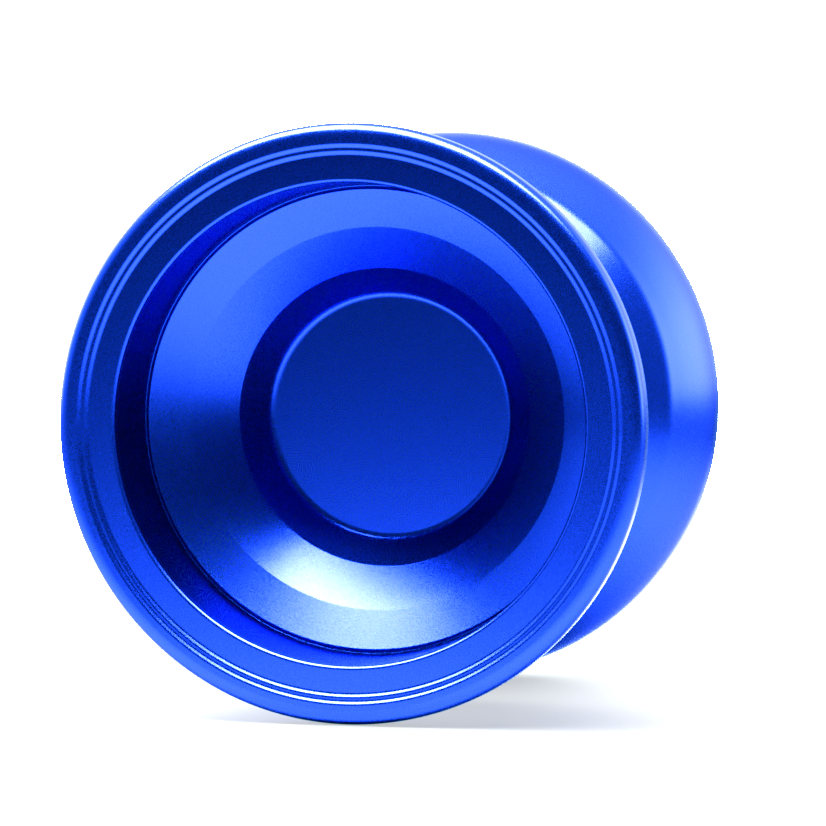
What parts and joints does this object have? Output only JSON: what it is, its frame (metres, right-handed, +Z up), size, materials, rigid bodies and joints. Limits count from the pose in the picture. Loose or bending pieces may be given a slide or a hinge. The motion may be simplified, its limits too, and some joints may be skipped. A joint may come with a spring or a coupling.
{
  "type": "yo-yo",
  "caption": "Unresponsive ball-bearing yo-yo with two wide cupped metal halves, stepped rims, silicone response pads and a screw-apart threaded axle.",
  "frame": {"origin": "centre of the bearing, on the spin axis, half way between the halves", "axes": "+Y along the spin axis towards the rear half, +Z up; the front half's cup opens to -Y"},
  "size_m": [0.056, 0.0472, 0.056],
  "materials": {
    "anodised_aluminium": "bead-blasted, blue anodised, satin",
    "axle_steel": "black oxide",
    "silicone": "matt translucent white silicone",
    "bearing_steel": "ground",
    "cage_steel": "pressed strip",
    "shield_steel": "pressed sheet",
    "spring_steel": "spring wire",
    "ball_steel": "polished"
  },
  "bodies": {
    "front": {"front_half": "anodised_aluminium", "response_pad_front": "silicone", "axle": "axle_steel"},
    "inner_race": {"bearing_inner_race": "bearing_steel"},
    "rear": {"rear_half": "anodised_aluminium", "response_pad_rear": "silicone"},
    "outer_race": {"bearing_outer_race": "bearing_steel", "bearing_shield_front": "shield_steel", "bearing_shield_rear": "shield_steel", "snap_ring_front": "spring_steel", "snap_ring_rear": "spring_steel"},
    "cage": {"bearing_cage": "cage_steel"},
    "ball_01": {"ball_01": "ball_steel"},
    "ball_02": {"ball_02": "ball_steel"},
    "ball_03": {"ball_03": "ball_steel"},
    "ball_04": {"ball_04": "ball_steel"},
    "ball_05": {"ball_05": "ball_steel"},
    "ball_06": {"ball_06": "ball_steel"},
    "ball_07": {"ball_07": "ball_steel"},
    "ball_08": {"ball_08": "ball_steel"},
    "ball_09": {"ball_09": "ball_steel"},
    "ball_10": {"ball_10": "ball_steel"}
  },
  "joints": [
    {"name": "bearing_slide", "type": "slide", "parent": "front", "child": "inner_race", "axis": [0, 1, 0], "range_m": [0, 0.00367]},
    {"name": "rear_half_unscrew", "type": "hinge", "parent": "inner_race", "child": "rear", "pos_m": [0, 0, 0], "axis": [0, 1, 0], "range_deg": [0, 1890]},
    {"name": "outer_race_spin", "type": "hinge", "parent": "inner_race", "child": "outer_race", "pos_m": [0, 0, 0], "axis": [0, 1, 0], "continuous": true},
    {"name": "cage_spin", "type": "hinge", "parent": "inner_race", "child": "cage", "pos_m": [0, 0, 0], "axis": [0, 1, 0], "continuous": true},
    {"name": "ball_roll_01", "type": "hinge", "parent": "cage", "child": "ball_01", "pos_m": [0.00476, 0, 0], "axis": [0, 1, 0], "continuous": true},
    {"name": "ball_roll_02", "type": "hinge", "parent": "cage", "child": "ball_02", "pos_m": [0.00385, 0, -0.0028], "axis": [0, 1, 0], "continuous": true},
    {"name": "ball_roll_03", "type": "hinge", "parent": "cage", "child": "ball_03", "pos_m": [0.00147, 0, -0.00453], "axis": [0, 1, 0], "continuous": true},
    {"name": "ball_roll_04", "type": "hinge", "parent": "cage", "child": "ball_04", "pos_m": [-0.00147, 0, -0.00453], "axis": [0, 1, 0], "continuous": true},
    {"name": "ball_roll_05", "type": "hinge", "parent": "cage", "child": "ball_05", "pos_m": [-0.00385, 0, -0.0028], "axis": [0, 1, 0], "continuous": true},
    {"name": "ball_roll_06", "type": "hinge", "parent": "cage", "child": "ball_06", "pos_m": [-0.00476, 0, 0], "axis": [0, 1, 0], "continuous": true},
    {"name": "ball_roll_07", "type": "hinge", "parent": "cage", "child": "ball_07", "pos_m": [-0.00385, 0, 0.0028], "axis": [0, 1, 0], "continuous": true},
    {"name": "ball_roll_08", "type": "hinge", "parent": "cage", "child": "ball_08", "pos_m": [-0.00147, 0, 0.00453], "axis": [0, 1, 0], "continuous": true},
    {"name": "ball_roll_09", "type": "hinge", "parent": "cage", "child": "ball_09", "pos_m": [0.00147, 0, 0.00453], "axis": [0, 1, 0], "continuous": true},
    {"name": "ball_roll_10", "type": "hinge", "parent": "cage", "child": "ball_10", "pos_m": [0.00385, 0, 0.0028], "axis": [0, 1, 0], "continuous": true}
  ],
  "couplings": [
    {"joint": "bearing_slide", "follows": "rear_half_unscrew", "m_per_rad": 0.00011141},
    {"joint": "cage_spin", "follows": "outer_race_spin", "ratio": 0.58336},
    {"joint": "ball_roll_01", "follows": "outer_race_spin", "ratio": 2.9157},
    {"joint": "ball_roll_02", "follows": "outer_race_spin", "ratio": 2.9157},
    {"joint": "ball_roll_03", "follows": "outer_race_spin", "ratio": 2.9157},
    {"joint": "ball_roll_04", "follows": "outer_race_spin", "ratio": 2.9157},
    {"joint": "ball_roll_05", "follows": "outer_race_spin", "ratio": 2.9157},
    {"joint": "ball_roll_06", "follows": "outer_race_spin", "ratio": 2.9157},
    {"joint": "ball_roll_07", "follows": "outer_race_spin", "ratio": 2.9157},
    {"joint": "ball_roll_08", "follows": "outer_race_spin", "ratio": 2.9157},
    {"joint": "ball_roll_09", "follows": "outer_race_spin", "ratio": 2.9157},
    {"joint": "ball_roll_10", "follows": "outer_race_spin", "ratio": 2.9157}
  ]
}
